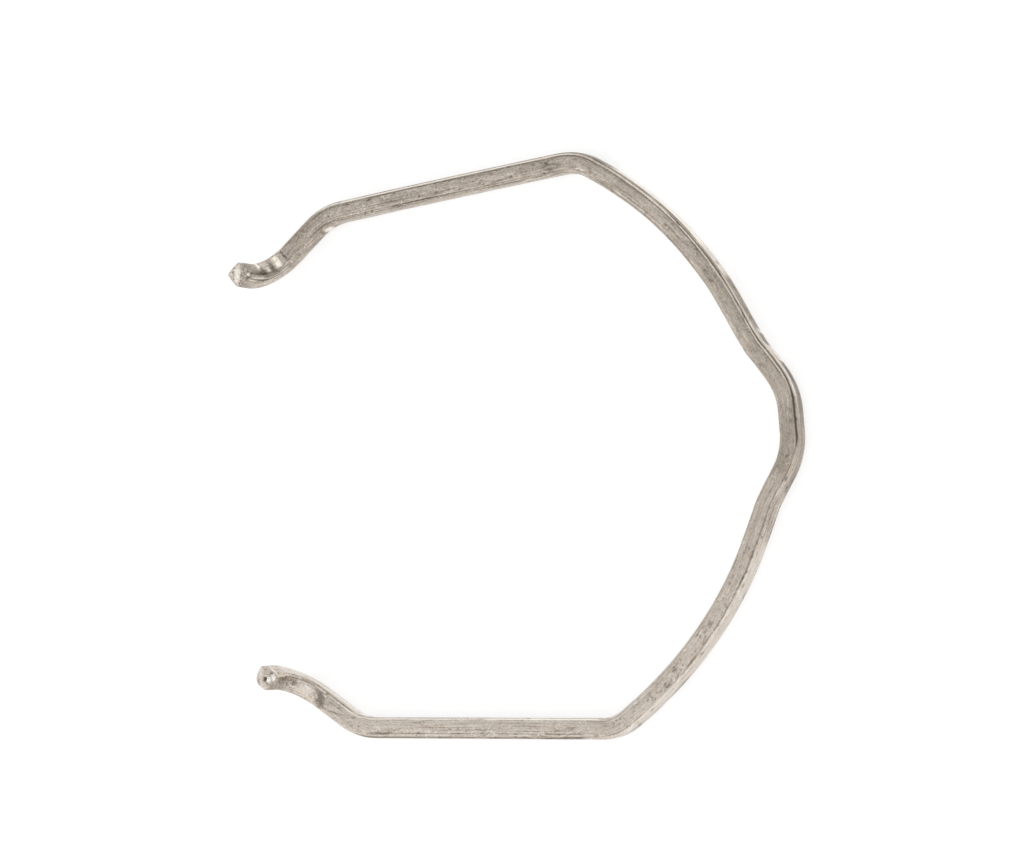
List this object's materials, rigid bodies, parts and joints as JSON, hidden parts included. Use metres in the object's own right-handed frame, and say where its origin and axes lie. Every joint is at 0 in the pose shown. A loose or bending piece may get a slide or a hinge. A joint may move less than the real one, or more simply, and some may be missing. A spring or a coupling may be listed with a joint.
{
  "type": "locking clip",
  "caption": "Open C-shaped locking clip of square spring wire: straight legs for the neck of a hose coupling, a raised grip in the bow, and inturned ends hooked up square to the clip's plane.",
  "frame": {"origin": "on the axis of the neck that the legs hold, in the plane that the clip lies on", "axes": "+X from the mouth to the grip, +Y across the legs, +Z along the neck, the way the hooks point"},
  "size_m": [0.071, 0.0696, 0.0083],
  "materials": {
    "steel": "drawn and oiled, satin, with lengthwise die lines"
  },
  "bodies": {
    "root": {"clip": "steel"}
  },
  "joints": []
}
